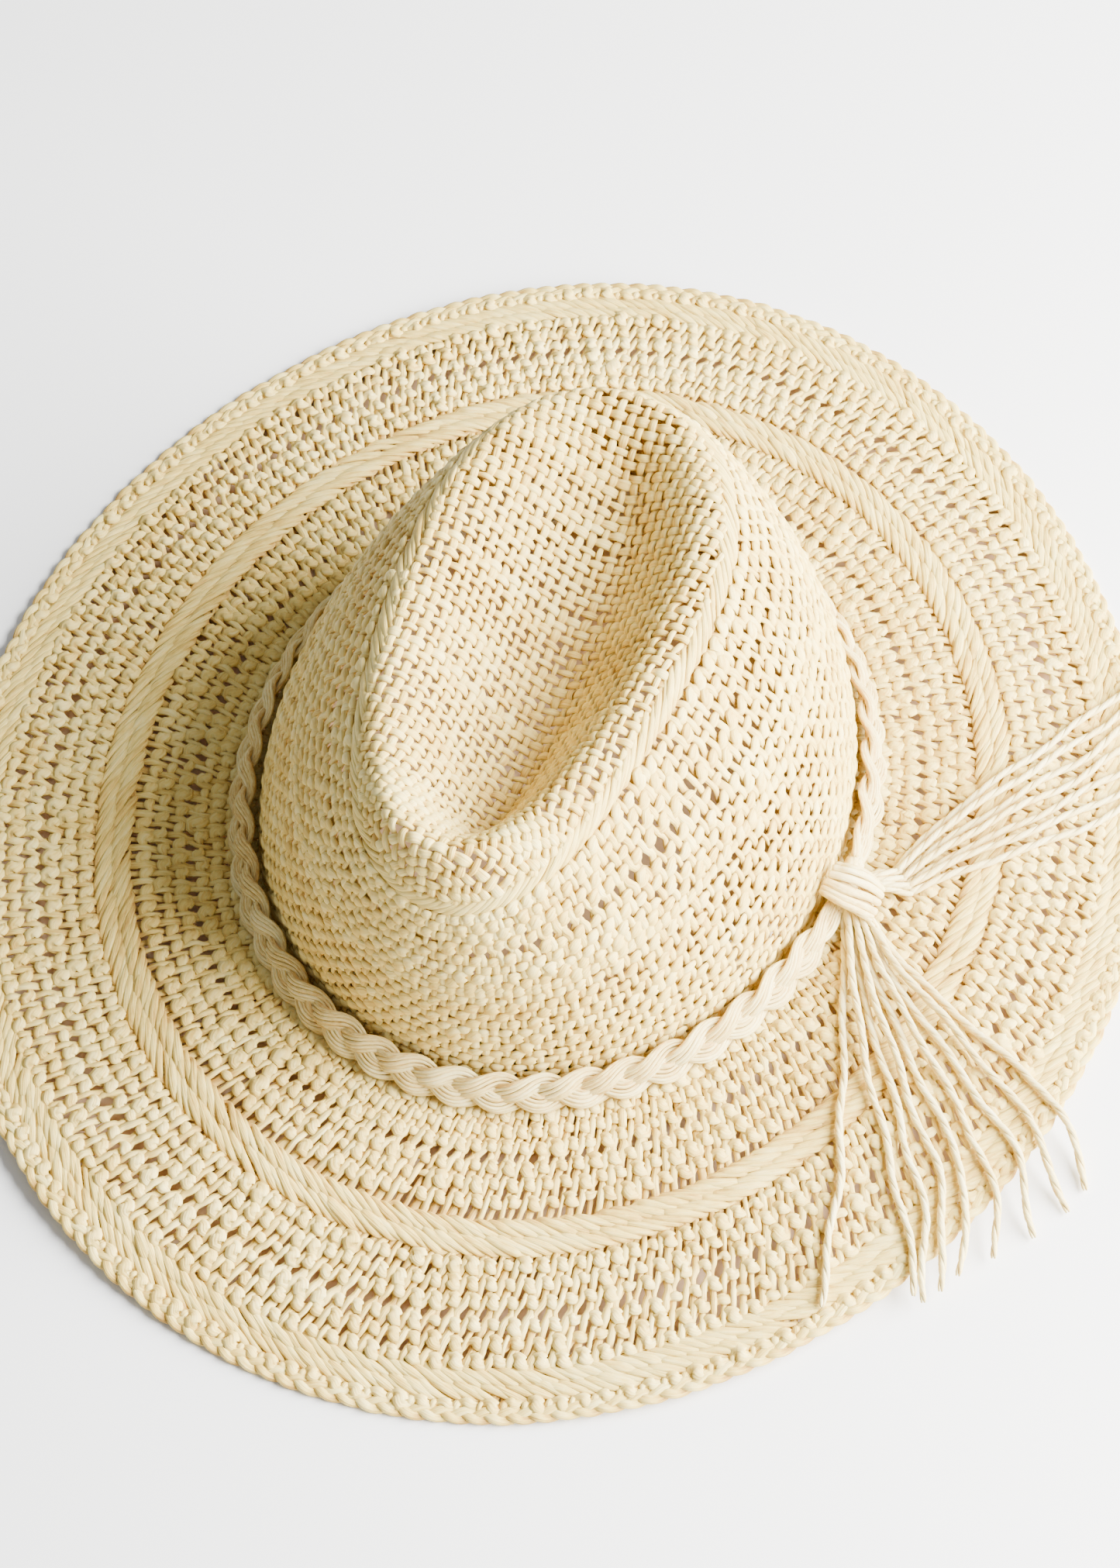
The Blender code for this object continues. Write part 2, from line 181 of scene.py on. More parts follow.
def brim_point(angle, share):
    """A point of the brim, half way through the weave."""
    half_width, half_length = brim_oval(share)
    return np.stack([half_width * np.cos(angle),
                     CROWN_SHIFT * (1 - share) + half_length * np.sin(angle),
                     brim_underside(angle, share) + WEAVE / 2], axis=-1)


def brim_place(x, y):
    """The angle and share of the brim at a point in plan."""
    low, high = -0.2, 2.0
    for _ in range(40):
        share = (low + high) / 2
        half_width, half_length = brim_oval(share)
        across = x / half_width
        along = (y - CROWN_SHIFT * (1 - share)) / half_length
        if across ** 2 + along ** 2 > 1:
            low = share
        else:
            high = share
    return math.atan2(along, across), share


def ridge_point(angle):
    fullness = 1 + RIDGE_FULLNESS * np.sin(2 * angle) ** 2
    half_width = RIDGE_HALF_WIDTH * (1 + RIDGE_TEARDROP * np.sin(angle)) * fullness
    x = RIDGE_SHIFT[0] - RIDGE_LEAN * np.sin(angle) + half_width * np.cos(angle)
    y = RIDGE_SHIFT[1] + RIDGE_HALF_LENGTH * fullness * np.sin(angle)
    return np.stack([x, y, RIDGE_HEIGHT + FRONT_RISE * np.maximum(0.0, -np.sin(angle)) ** 2], axis=-1)


def wall_point(angle, share, inset=0.0):
    """A point of the crown's wall, share 0 at the base and 1 on the ridge."""
    ridge = ridge_point(angle)
    lean = share ** (2.0 + 0.22 * np.cos(angle - math.radians(40)))
    base_x = (CROWN_HALF_WIDTH - inset) * np.cos(angle)
    base_y = CROWN_SHIFT + (CROWN_HALF_LENGTH - inset) * np.sin(angle)
    roll = np.maximum(0.0, (share - (1 - RIDGE_ROLL)) / RIDGE_ROLL)
    rise = (share - 0.5 * RIDGE_ROLL * roll ** 2) / (1 - 0.5 * RIDGE_ROLL)
    x = (1 - lean) * base_x + lean * ridge[..., 0]
    y = (1 - lean) * base_y + lean * ridge[..., 1]
    return np.stack([x, y, CROWN_BASE + (ridge[..., 2] - CROWN_BASE) * rise], axis=-1)


def top_point(angle, share):
    """A point of the crown's dented top, share 0 on the ridge and 1 along the dent's valley."""
    ridge = ridge_point(angle)
    valley_y = RIDGE_SHIFT[1] - 0.002 + DENT_HALF_LENGTH * np.sin(angle)
    valley_x = RIDGE_SHIFT[0] + DENT_SHIFT - 0.04 * valley_y
    depth = DENT_DEPTH + DENT_VARIATION * np.cos(PI * (valley_y + 0.020) / 0.095)
    return np.stack([(1 - share) * ridge[..., 0] + share * valley_x,
                     (1 - share) * ridge[..., 1] + share * valley_y,
                     ridge[..., 2] - depth * eased(share)], axis=-1)


class Surface:
    """A fine grid of points over a curved surface. u runs around (and may wrap), v across, both 0 to 1."""

    def __init__(self, points, wrap, side=1.0):
        self.points, self.wrap = points, wrap
        if wrap:
            along = np.roll(points, -1, axis=0) - np.roll(points, 1, axis=0)
        else:
            along = np.gradient(points, axis=0)
        across = np.gradient(points, axis=1)
        self.normals = unit(np.cross(along, across)) * side
        self.across = unit(across)
        self.along = unit(along)

    def sunk(self, depth):
        """The surface moved inwards."""
        self.points = self.points - self.normals * depth
        return self

    def at(self, u, v):
        """Points, normals, directions along u and directions along v."""
        nu, nv = self.points.shape[:2]
        u, v = np.broadcast_arrays(u, v)
        x = (u % 1.0) * nu if self.wrap else np.clip(u, 0, 1) * (nu - 1)
        y = np.clip(v, 0, 1) * (nv - 1)
        i = np.floor(x).astype(int) if self.wrap else np.minimum(np.floor(x).astype(int), nu - 2)
        j = np.minimum(np.floor(y).astype(int), nv - 2)
        a = (x - i)[..., None]
        b = (y - j)[..., None]
        i %= nu
        k = (i + 1) % nu

        def mix(grid):
            return ((grid[i, j] * (1 - a) + grid[k, j] * a) * (1 - b)
                    + (grid[i, j + 1] * (1 - a) + grid[k, j + 1] * a) * b)
        return mix(self.points), unit(mix(self.normals)), unit(mix(self.along)), unit(mix(self.across))


BRIM_V = (-0.015, 1.005)        # the shares of the brim's width between which its surface runs


def make_brim_surface():
    u = np.arange(900)[:, None] / 900
    share = np.linspace(*BRIM_V, 140)[None, :]
    angle = TAU * u + BRIM_SKEW * share
    return Surface(brim_point(angle, share), wrap=True, side=-1.0)


def brim_level(share):
    return (share - BRIM_V[0]) / (BRIM_V[1] - BRIM_V[0])


def ring_drop(angle):
    """How far below the ridge the wall's weave ends, measured along the wall."""
    return 0.004 + 0.0010 * np.cos(angle) + 0.0145 * np.maximum(0.0, -np.sin(angle)) ** 2.2


def make_crown_surface():
    """The crown's wall, from its base (v 0) to the ring where its top begins (v 1), by length along the wall."""
    angles = TAU * np.arange(704) / 704
    path = wall_point(angles[:, None], np.linspace(0, 1, 300))
    steps = np.linalg.norm(np.diff(path, axis=1), axis=2)
    length = np.concatenate([np.zeros((len(angles), 1)), np.cumsum(steps, axis=1)], axis=1)
    rows = []
    for k, angle in enumerate(angles):
        wanted = np.linspace(0, length[k, -1] - ring_drop(angle), 130)
        rows.append(np.stack([np.interp(wanted, length[k], path[k, :, c]) for c in range(3)], axis=-1))
    return Surface(np.array(rows), wrap=True).sunk(WEAVE / 2)


GRID_STEP = 0.001
GRID_FALL = 0.0012             # how far the heights fall at each step outside the crown


def height_grid():
    """Heights of the top half of the crown, half way through its weave, on a grid in plan."""
    angles = TAU * np.arange(240)[:, None] / 240
    wall = wall_point(angles, np.linspace(0.55, 1, 60))
    top = top_point(angles, np.linspace(0, 1, 50)[1:])
    shell = Surface(np.concatenate([wall, top], axis=1), wrap=True).sunk(WEAVE / 2).points
    index = np.arange(shell.shape[0] * shell.shape[1]).reshape(shell.shape[:2])
    around = np.roll(index, -1, axis=0)
    faces = np.stack([index[:, :-1], around[:, :-1], around[:, 1:], index[:, 1:]], axis=-1).reshape(-1, 4)
    tree = BVHTree.FromPolygons(shell.reshape(-1, 3).tolist(), faces.tolist())
    xs = np.arange(-0.075, 0.0651, GRID_STEP)
    ys = np.arange(-0.105, 0.1081, GRID_STEP)
    heights = np.full((len(xs), len(ys)), np.nan)
    down = Vector((0, 0, -1))
    for a, x in enumerate(xs):
        for b, y in enumerate(ys):
            hit = tree.ray_cast(Vector((x, y, 0.3)), down)[0]
            if hit is not None:
                heights[a, b] = hit.z
    # Outside the shell the heights carry on as the last known ones
    for _ in range(60):
        gap = np.isnan(heights)
        if not gap.any():
            break
        total = np.zeros_like(heights)
        known = np.zeros_like(heights)
        for axis in (0, 1):
            for shift in (1, -1):
                near = np.roll(heights, shift, axis=axis)
                good = ~np.isnan(near)
                total[good] += near[good]
                known[good] += 1
        fill = gap & (known > 0)
        heights[fill] = total[fill] / known[fill] - GRID_FALL
    return xs, ys, heights


TOP_ROW_PITCH = 0.0032
TOP_WARP_PITCH = 0.0037
TOP_LONG = 44                  # net lines on each side of the middle, along and across the dent
TOP_ACROSS = 24
TOP_FINE = 4                   # samples from one net line to the next


def make_top_surface():
    """A net over the crown's top, its lines evenly spaced along the cloth: u across the dent, v along it."""
    xs, ys, heights = height_grid()

    def height(x, y):
        a = np.clip((x - xs[0]) / GRID_STEP, 0, len(xs) - 1.001)
        b = np.clip((y - ys[0]) / GRID_STEP, 0, len(ys) - 1.001)
        i, j = a.astype(int), b.astype(int)
        a, b = a - i, b - j
        return ((heights[i, j] * (1 - a) + heights[i + 1, j] * a) * (1 - b)
                + (heights[i, j + 1] * (1 - a) + heights[i + 1, j + 1] * a) * b)

    def valley_x(y):
        return RIDGE_SHIFT[0] + 0.6 * DENT_SHIFT - 0.04 * y

    def spread(line, step, count):
        """Positions along a line of points, evenly spaced by length."""
        length = run_along(line)
        wanted = step * np.arange(count)
        return np.stack([np.interp(wanted, length, line[:, c]) for c in range(line.shape[1])], axis=-1)

    def net_line(low, high, count, step, place):
        """A net line from the middle out to both sides."""
        halves = []
        for end in (low, high):
            x, y = np.broadcast_arrays(*place(np.linspace(0, 1, 260) * end))
            halves.append(spread(np.stack([x, y, height(x, y)], axis=-1), step, count))
        return np.concatenate([halves[0][:0:-1], halves[1]])

    centre = net_line(-0.104, 0.106, TOP_LONG * TOP_FINE + 1, TOP_ROW_PITCH / TOP_FINE,
                      lambda run: (valley_x(run), run))
    columns = [net_line(-0.074, 0.070, TOP_ACROSS * TOP_FINE + 1, TOP_WARP_PITCH / TOP_FINE,
                        lambda run, y=y: (valley_x(y) + run, y)) for y in centre[:, 1]]
    return Surface(np.array(columns).transpose(1, 0, 2), wrap=False)


# --- Swept strands
def map_corners(left, right, low, high):
    """The four corners of each quad on the strands' map."""
    corners = ((left, low), (right, low), (right, high), (left, high))
    return np.stack([np.stack(np.broadcast_arrays(*corner), -1) for corner in corners], axis=-2).reshape(-1, 4, 2)


class Web:
    """Swept strands, gathered into one mesh."""

    def __init__(self, seed):
        self.random = np.random.default_rng(seed)
        self.points, self.quads, self.caps, self.uvs = [], [], [], []
        self.tones, self.dip_shades = [], []
        self.count = 0

    def sweep(self, centre, normal, half_width, half_thick, closed=False, sides=8, dip_shade=0.0, blunt=0.85,
              taper=0.55):
        """Strands along centre lines (strands, samples, 3), wide across the normal.

        The painted shade, from 0 to 1, says where a strand dips and darkens it there. A low blunt squares its
        section, and open ends narrow to taper.
        """
        centre = np.asarray(centre, float)
        if centre.ndim == 2:
            centre, normal = centre[None], np.asarray(normal)[None]
        n, k = centre.shape[:2]
        if closed:
            tangent = np.roll(centre, -1, axis=1) - np.roll(centre, 1, axis=1)
        else:
            tangent = np.gradient(centre, axis=1)
        tangent = unit(tangent)
        normal = unit(normal - tangent * np.sum(normal * tangent, axis=-1, keepdims=True))
        side = np.cross(tangent, normal)
        half_width = np.array(np.broadcast_to(half_width, (n, k)), float)
        half_thick = np.array(np.broadcast_to(half_thick, (n, k)), float)
        if not closed:
            half_width[:, [0, -1]] *= taper
            half_thick[:, [0, -1]] *= taper
        turn = TAU * (np.arange(sides) + 0.5) / sides
        across = np.sign(np.cos(turn)) * np.abs(np.cos(turn)) ** blunt
        above = np.sign(np.sin(turn)) * np.abs(np.sin(turn)) ** blunt
        ring = (centre[:, :, None]
                + side[:, :, None] * (half_width[:, :, None] * across)[..., None]
                + normal[:, :, None] * (half_thick[:, :, None] * above)[..., None])
        self.points.append(ring.reshape(-1, 3))
        self.tones.append(np.repeat(self.random.random(n), k * sides))
        # Painted shade where the strand dips, at each point
        self.dip_shades.append(np.repeat(np.ravel(np.broadcast_to(dip_shade, (n, k))), sides))
        # Quads
        spans = k if closed else k - 1
        i = np.arange(spans)
        nxt = (i + 1) % k
        s = np.arange(sides)
        t = (s + 1) % sides
        base = self.count + (np.arange(n) * k * sides)[:, None, None]
        corners = np.stack([base + i[None, :, None] * sides + s,
                            base + nxt[None, :, None] * sides + s,
                            base + nxt[None, :, None] * sides + t,
                            base + i[None, :, None] * sides + t], axis=-1)
        self.quads.append(corners.reshape(-1, 4))
        # Map: length along the strand in metres from a random start, and share around it
        ahead = np.roll(centre, -1, axis=1)
        steps = np.linalg.norm(ahead - centre, axis=-1)
        length = np.concatenate([np.zeros((n, 1)), np.cumsum(steps, axis=1)], axis=1)
        length += self.random.random((n, 1)) * 50
        self.uvs.append(map_corners(length[:, :spans, None], length[:, 1:spans + 1, None], s / sides,
                                    (s + 1) / sides))
        if not closed:
            first = base[:, 0, 0][:, None] + s
            last = base[:, 0, 0][:, None] + (k - 1) * sides + s[::-1]
            for cap, at in ((first, length[:, 0]), (last, length[:, k - 1])):
                self.caps.append((cap, at, sides))
        self.count += n * k * sides

    def build(self, name, material_name):
        """The mesh object."""
        points = np.concatenate(self.points)
        quads = np.concatenate(self.quads)
        loops = [quads.ravel()]
        totals = [np.full(len(quads), 4)]
        uvs = [np.concatenate(self.uvs).reshape(-1, 2)]
        for cap, at, sides in self.caps:
            loops.append(cap.ravel())
            totals.append(np.full(len(cap), sides))
            flat = np.zeros((len(cap), sides, 2))
            flat[..., 0] = at[:, None]
            flat[..., 1] = np.arange(sides) / sides
            uvs.append(flat.reshape(-1, 2))
        loops, totals, uvs = np.concatenate(loops), np.concatenate(totals), np.concatenate(uvs)
        mesh = bpy.data.meshes.new(name)
        mesh.vertices.add(len(points))
        mesh.vertices.foreach_set("co", points.astype(np.float32).ravel())
        mesh.loops.add(len(loops))
        mesh.loops.foreach_set("vertex_index", loops.astype(np.int32))
        mesh.polygons.add(len(totals))
        starts = np.concatenate([[0], np.cumsum(totals)[:-1]])
        mesh.polygons.foreach_set("loop_start", starts.astype(np.int32))
        mesh.polygons.foreach_set("loop_total", totals.astype(np.int32))
        mesh.update(calc_edges=True)
        mesh.uv_layers.new(name="strand").data.foreach_set("uv", uvs.astype(np.float32).ravel())
        # Each strand's random tone, and the shade painted where it dips
        for label, values in (("tone", self.tones), ("dip_shade", self.dip_shades)):
            layer = mesh.attributes.new(label, "FLOAT", "POINT")
            layer.data.foreach_set("value", np.concatenate(values).astype(np.float32))
        mesh.validate()
        mesh.shade_smooth()
        obj = bpy.data.objects.new(name, mesh)
        bpy.context.scene.collection.objects.link(obj)
        mesh.materials.append(bpy.data.materials[material_name])
        return obj


def drift(random, count, period, closed=True):
    """Smooth random values between about -1 and 1 that change over some samples."""
    knots = max(4, int(round(count / period)))
    values = random.normal(size=knots) * 0.6
    values = np.append(values, values[0] if closed else random.normal() * 0.6)
    return np.interp(np.arange(count) / count * knots, np.arange(knots + 1), values)


# --- Weaving
WEFT_SAMPLES = 5
WEFT_SIDES = 7
WEFT_STAY = 0.50               # how far past the middle of its wave a row still stands above the cloth, from 0 to 1
WEFT_RAISE = 0.00018           # the rows stand out a little more than the warps
HOLE_MIDDLE = -50 / 360        # the crown's row of holes: where it is, and how far it reaches, in turns
HOLE_REACH = 24 / 360
HOLE_FADE = 12 / 360
WARP_SAMPLES = 5


def hole_share(u):
    """How open the crown's row of holes is: it fades out towards the back."""
    away = np.abs((np.asarray(u) - HOLE_MIDDLE + 0.5) % 1.0 - 0.5)
    return 1 - eased((away - HOLE_REACH) / HOLE_FADE)


def weave_row(web, surface, warps, level, parity, lift, half_width, half_thick, slant, close=0.0):
    """One row around the hat, over every second warp."""
    random = web.random
    count = warps * WEFT_SAMPLES
    x = np.arange(count) / WEFT_SAMPLES
    crest = np.cos(PI * (x + parity))
    rough = np.repeat(random.normal(size=warps), WEFT_SAMPLES)
    rough = (rough + np.roll(rough, 1) + np.roll(rough, 2) + np.roll(rough, -1)) / 4
    level = level + close * (1 - hole_share(x / warps))
    points, normals, _, across = surface.at(x / warps, level)
    above = np.maximum(crest + WEFT_STAY, 0) / (1 + WEFT_STAY)
    below = np.maximum(-crest - WEFT_STAY, 0) / (1 - WEFT_STAY)
    shaped = above ** 0.6 - below ** 0.9
    rise = lift * shaped * (1 + 0.22 * rough) + WEFT_RAISE + 0.00008 * drift(random, count, 40)
    aside = (slant * np.sin(PI * (x + parity)) * (1 + 0.5 * rough) + 0.00030 * drift(random, count, 16)
             + 0.00026 * rough)
    width = half_width * (1 + 0.20 * crest + 0.20 * rough + 0.05 * drift(random, count, 60))
    thick = half_thick * (1 + 0.14 * crest + 0.10 * rough)
    centre = points + normals * rise[:, None] + across * aside[:, None]
    # Shade is painted where the row dips under the warps
    web.sweep(centre, normals, width, thick, closed=True, sides=WEFT_SIDES, dip_shade=0.5 - 0.5 * shaped, blunt=0.85)


def weave_warps(web, surface, warps, bands, level_of, lift, half_width, half_thick, pinch, partly=False,
                every=(0, 1)):
    """The warps across a set of bands: all of them, or every so many from a first one."""
    random = web.random
    index = np.arange(every[0], warps, every[1])[:, None]
    places, lifts, asides = [], [], []
    parity = 0
    for kind, share in bands:
        places.append(level_of(share))
        rise, aside = -1.5 * lift, 0.0
        if kind == "row":
            rise = -lift * np.cos(PI * (index + parity))
            parity += 1
        elif kind == "holes":
            rise = 0.15 * lift
            aside = np.where(index % 2 == 0, pinch, -pinch) * (hole_share(index / warps) if partly else 1.0)
        lifts.append(rise + 0.0 * index)
        asides.append(aside + 0.0 * index)
    places = np.array(places)
    lifts, asides = np.concatenate(lifts, axis=1), np.concatenate(asides, axis=1)
    lifts = lifts + lift * 0.20 * random.normal(size=lifts.shape)
    asides = asides + 0.20 * half_width * random.normal(size=asides.shape)
    spans = len(places) - 1
    s = np.arange(spans * WARP_SAMPLES + 1) / WARP_SAMPLES
    span = np.minimum(s.astype(int), spans - 1)
    t = s - span
    soft = eased(t)
    level = places[span] * (1 - t) + places[span + 1] * t
    rise = lifts[:, span] * (1 - soft) + lifts[:, span + 1] * soft
    aside = asides[:, span] * (1 - soft) + asides[:, span + 1] * soft
    u = (index / warps) + np.zeros((1, len(level)))
    points, normals, along, _ = surface.at(u, level)
    centre = points + normals * rise[..., None] + along * aside[..., None]
    wide = half_width * (1 + 0.17 * random.normal(size=(len(index), 1)) + 0.07 * random.normal(size=u.shape))
    # Shade is painted where the warp dips under the rows
    web.sweep(centre, normals, wide, half_thick, sides=6, dip_shade=np.clip(0.6 - 0.5 * rise / lift, 0, 1), blunt=0.8)


ROPE_STRANDS = 5
ROPE_OVER = 0.76               # the share of a cycle that a strand spends on top
ROPE_SAMPLES = 20


def weave_rope(web, surface, level, width, cycles, high, low, half_width, half_thick):
    """A band of long slanted floats: strands that cross its width on top and go back beneath."""
    random = web.random
    count = cycles * ROPE_SAMPLES
    for number in range(ROPE_STRANDS):
        phase = (np.arange(count) / ROPE_SAMPLES + number / ROPE_STRANDS) % 1.0
        out = phase / ROPE_OVER
        back = (phase - ROPE_OVER) / (1 - ROPE_OVER)
        on_top = phase < ROPE_OVER
        arch = np.abs(np.sin(PI * np.clip(out, 0, 1)))
        aside = np.where(on_top, out - 0.5, 0.5 - eased(back)) * width
        rise = np.where(on_top, low + (high - low) * arch ** 0.45, low)
        rise = (rise + np.roll(rise, 1) + np.roll(rise, -1)) / 3
        aside = (aside + np.roll(aside, 1) + np.roll(aside, -1)) / 3
        bulge = np.where(on_top, arch ** 0.5, 0.0)
        rough = drift(random, count, 9)
        points, normals, _, across = surface.at(np.arange(count) / count, level)
        centre = (points + normals * (rise + 0.00024 * rough)[:, None]
                  + across * (aside + 0.00058 * drift(random, count, 11))[:, None])
        # Shade is painted where a float runs beneath the others
        web.sweep(centre, normals, half_width * (0.58 + 0.42 * bulge + 0.26 * rough),
                  half_thick * (0.75 + 0.25 * bulge), closed=True, dip_shade=1.15 - 0.75 * bulge, blunt=0.85)


def weave_plait(web, surface, level, swing, depth, cycles, half_width, half_thick):
    """A flat plait of three strands along the edge."""
    samples = 16
    random = web.random
    count = cycles * samples
    for number in range(3):
        phase = TAU * (np.arange(count) / samples + number / 3)
        rough = drift(random, count, 8)
        aside = swing * np.sin(phase) + 0.00015 * rough
        rise = depth * np.sin(2 * phase)
        points, normals, _, across = surface.at(np.arange(count) / count, level)
        centre = points + normals * rise[:, None] + across * aside[:, None]
        # Shade is painted where a strand dips under the others
        web.sweep(centre, normals, half_width * (1 + 0.10 * rough), half_thick, closed=True,
                  dip_shade=np.clip(0.4 - 0.5 * np.sin(2 * phase), 0, 1), blunt=0.8)


# --- Materials
PATCH_SCALE = 38.0             # size of the patches of colour, in patches a metre
RELIEF_DEPTH = 0.0005
GLOW_DEPTH = 0.0018            # how deep light goes into a strand


def set_inputs(node, **values):
    """Sets a node's inputs by their names, with _ for a space."""
    for name, value in values.items():
        node.inputs[name.replace("_", " ")].default_value = value


def straw_material(name, stops, streak=(220.0, 9.0), roughness=(0.58, 0.80), bump=0.50, subsurface=0.15):
    """Paper straw: fine streaks along each strand, its own tone, and painted shade, darker and warmer, where it dips
    under its neighbours.
    """
    made = bpy.data.materials.new(name)
    made.use_nodes = True
    nodes, links = made.node_tree.nodes, made.node_tree.links
    shader = nodes["Principled BSDF"]

    def node(kind, **values):
        new = nodes.new(kind)
        for key, value in values.items():
            setattr(new, key, value)
        return new

    def maths(operation, a, b):
        new = node("ShaderNodeMath", operation=operation)
        for socket, value in zip(new.inputs, (a, b)):
            if isinstance(value, (int, float)):
                socket.default_value = value
            else:
                links.new(value, socket)
        return new.outputs[0]

    uv = node("ShaderNodeUVMap", uv_map="strand")

    def noise(stretch, detail, roughness):
        """Noise on the strands' map, stretched along them."""
        mapping, texture = node("ShaderNodeMapping"), node("ShaderNodeTexNoise", noise_dimensions="2D")
        links.new(uv.outputs[0], mapping.inputs["Vector"])
        links.new(mapping.outputs[0], texture.inputs["Vector"])
        set_inputs(mapping, Scale=(*stretch, 1.0))
        set_inputs(texture, Scale=1.0, Detail=detail, Roughness=roughness)
        return texture.outputs[0]

    fine = noise(streak, 3.0, 0.6)
    crease = noise((streak[0] * 0.4, streak[1] * 2.6), 1.5, 0.5)
    patch = node("ShaderNodeTexNoise")
    set_inputs(patch, Scale=PATCH_SCALE, Detail=2.0)
    links.new(node("ShaderNodeTexCoord").outputs["Object"], patch.inputs["Vector"])
    tone = node("ShaderNodeAttribute", attribute_name="tone")
    dip_shade = node("ShaderNodeAttribute", attribute_name="dip_shade")

    value = maths("MULTIPLY", fine, 0.55)
    # Painted shade: where a strand dips, its value falls towards the darker, warmer stops
    for part, share in ((crease, 0.30), (patch.outputs[0], 0.35), (tone.outputs["Fac"], 0.20),
                        (dip_shade.outputs["Fac"], -0.28)):
        value = maths("ADD", value, maths("MULTIPLY", part, share))
    ramp = node("ShaderNodeValToRGB")
    links.new(value, ramp.inputs[0])
    elements = ramp.color_ramp.elements
    elements[0].position, elements[1].position = stops[0][0], stops[-1][0]
    for stop in stops[1:-1]:
        elements.new(stop[0])
    for element, stop in zip(elements, stops):
        element.color = (*stop[1:], 1)
    links.new(ramp.outputs[0], shader.inputs["Base Color"])

    gloss = node("ShaderNodeMapRange")
    links.new(fine, gloss.inputs["Value"])
    set_inputs(gloss, To_Min=roughness[0], To_Max=roughness[1])
    links.new(gloss.outputs[0], shader.inputs["Roughness"])
    relief = node("ShaderNodeBump")
    set_inputs(relief, Strength=bump, Distance=RELIEF_DEPTH)
    links.new(maths("ADD", maths("MULTIPLY", crease, 0.7), maths("MULTIPLY", fine, 0.5)), relief.inputs["Height"])
    links.new(relief.outputs[0], shader.inputs["Normal"])
    set_inputs(shader, Specular_IOR_Level=0.35)
    if subsurface:
        set_inputs(shader, Subsurface_Weight=subsurface, Subsurface_Radius=(1.0, 0.55, 0.22),
                   Subsurface_Scale=GLOW_DEPTH)
    return made


def plain_material(name, color, roughness):
    made = bpy.data.materials.new(name)
    made.use_nodes = True
    set_inputs(made.node_tree.nodes["Principled BSDF"], Base_Color=color, Roughness=roughness)
    return made


# Each stop: its place on the scale of tone, and its red, green and blue
straw_material("woven_straw", (
    (0.30, 0.430, 0.245, 0.050), (0.47, 0.620, 0.410, 0.090), (0.62, 0.745, 0.550, 0.150),
    (0.90, 0.860, 0.715, 0.290)))
straw_material("plait_straw", (
    (0.28, 0.520, 0.300, 0.070), (0.45, 0.710, 0.520, 0.180), (0.62, 0.820, 0.660, 0.290),
    (0.90, 0.900, 0.800, 0.460)), streak=(420.0, 5.0), roughness=(0.50, 0.72))
straw_material("cotton_ribbon", (
    (0.25, 0.520, 0.420, 0.270), (0.50, 0.680, 0.580, 0.420), (0.65, 0.760, 0.670, 0.510),
    (0.90, 0.820, 0.740, 0.590)), streak=(900.0, 60.0), roughness=(0.85, 0.95), bump=0.15, subsurface=0.0)
straw_material("cotton_thread", (
    (0.25, 0.640, 0.560, 0.430), (0.50, 0.780, 0.710, 0.580), (0.65, 0.840, 0.780, 0.660),
    (0.90, 0.880, 0.830, 0.730)), streak=(1500.0, 4.0), roughness=(0.75, 0.88), bump=0.30, subsurface=0.0)


def finished(piece, body, slot, *nodes):
    """Rides a new piece on its body and hides the CAD nodes it stands for. The slot is not used."""
    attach(piece, body)
    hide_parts(*nodes)
    return piece


def straw_piece(web, name, node):
    """A piece of the hat's weave."""
    return finished(web.build(name, "woven_straw"), "hat", "straw", node)


# --- Camera
CAMERA_TARGET = Vector((-0.0015, 0.0086, 0.0))
CAMERA_DISTANCE = 1.136
CAMERA_AZIMUTH, CAMERA_ELEVATION, CAMERA_ROLL = (math.radians(v) for v in (21.0, 58.6, 1.32))


def add_camera():
    flat = math.cos(CAMERA_ELEVATION)
    back = Vector((math.sin(CAMERA_AZIMUTH) * flat, -math.cos(CAMERA_AZIMUTH) * flat, math.sin(CAMERA_ELEVATION)))
    right = Vector((math.cos(CAMERA_AZIMUTH), math.sin(CAMERA_AZIMUTH), 0.0))
    up = back.cross(right)
    rolled_right = math.cos(CAMERA_ROLL) * right + math.sin(CAMERA_ROLL) * up
    rolled_up = -math.sin(CAMERA_ROLL) * right + math.cos(CAMERA_ROLL) * up
    data = bpy.data.cameras.new("camera")
    data.lens = 85.0
    data.sensor_width = 36.0
    camera = bpy.data.objects.new("camera", data)
    camera.matrix_world = (Matrix.Translation(CAMERA_TARGET + back * CAMERA_DISTANCE)
                           @ Matrix((rolled_right, rolled_up, back)).transposed().to_4x4())
    bpy.context.scene.collection.objects.link(camera)
    bpy.context.scene.camera = camera


add_camera()


# --- Loose yarns, the hat's free cords
def smooth_points(route, step):
    """Points a step apart along a smooth curve through the route's points."""
    ends = [2 * route[0] - route[1]] + list(route) + [2 * route[-1] - route[-2]]
    fine = []
    for a, b, c, d in zip(ends, ends[1:], ends[2:], ends[3:]):
        for k in range(24):
            t = k / 24
            fine.append(0.5 * (2 * b + (c - a) * t + (2 * a - 5 * b + 4 * c - d) * t ** 2
                               + (3 * b - a - 3 * c + d) * t ** 3))
    fine.append(route[-1])
    lengths = [0.0]
    for a, b in zip(fine, fine[1:]):
        lengths.append(lengths[-1] + (b - a).length)
    count = max(2, round(lengths[-1] / step))
    points = []
    place = 0
    for k in range(count + 1):
        target = lengths[-1] * k / count
        while place < len(fine) - 2 and lengths[place + 1] < target:
            place += 1
        span = lengths[place + 1] - lengths[place]
        points.append(fine[place].lerp(fine[place + 1], (target - lengths[place]) / span))
    return points


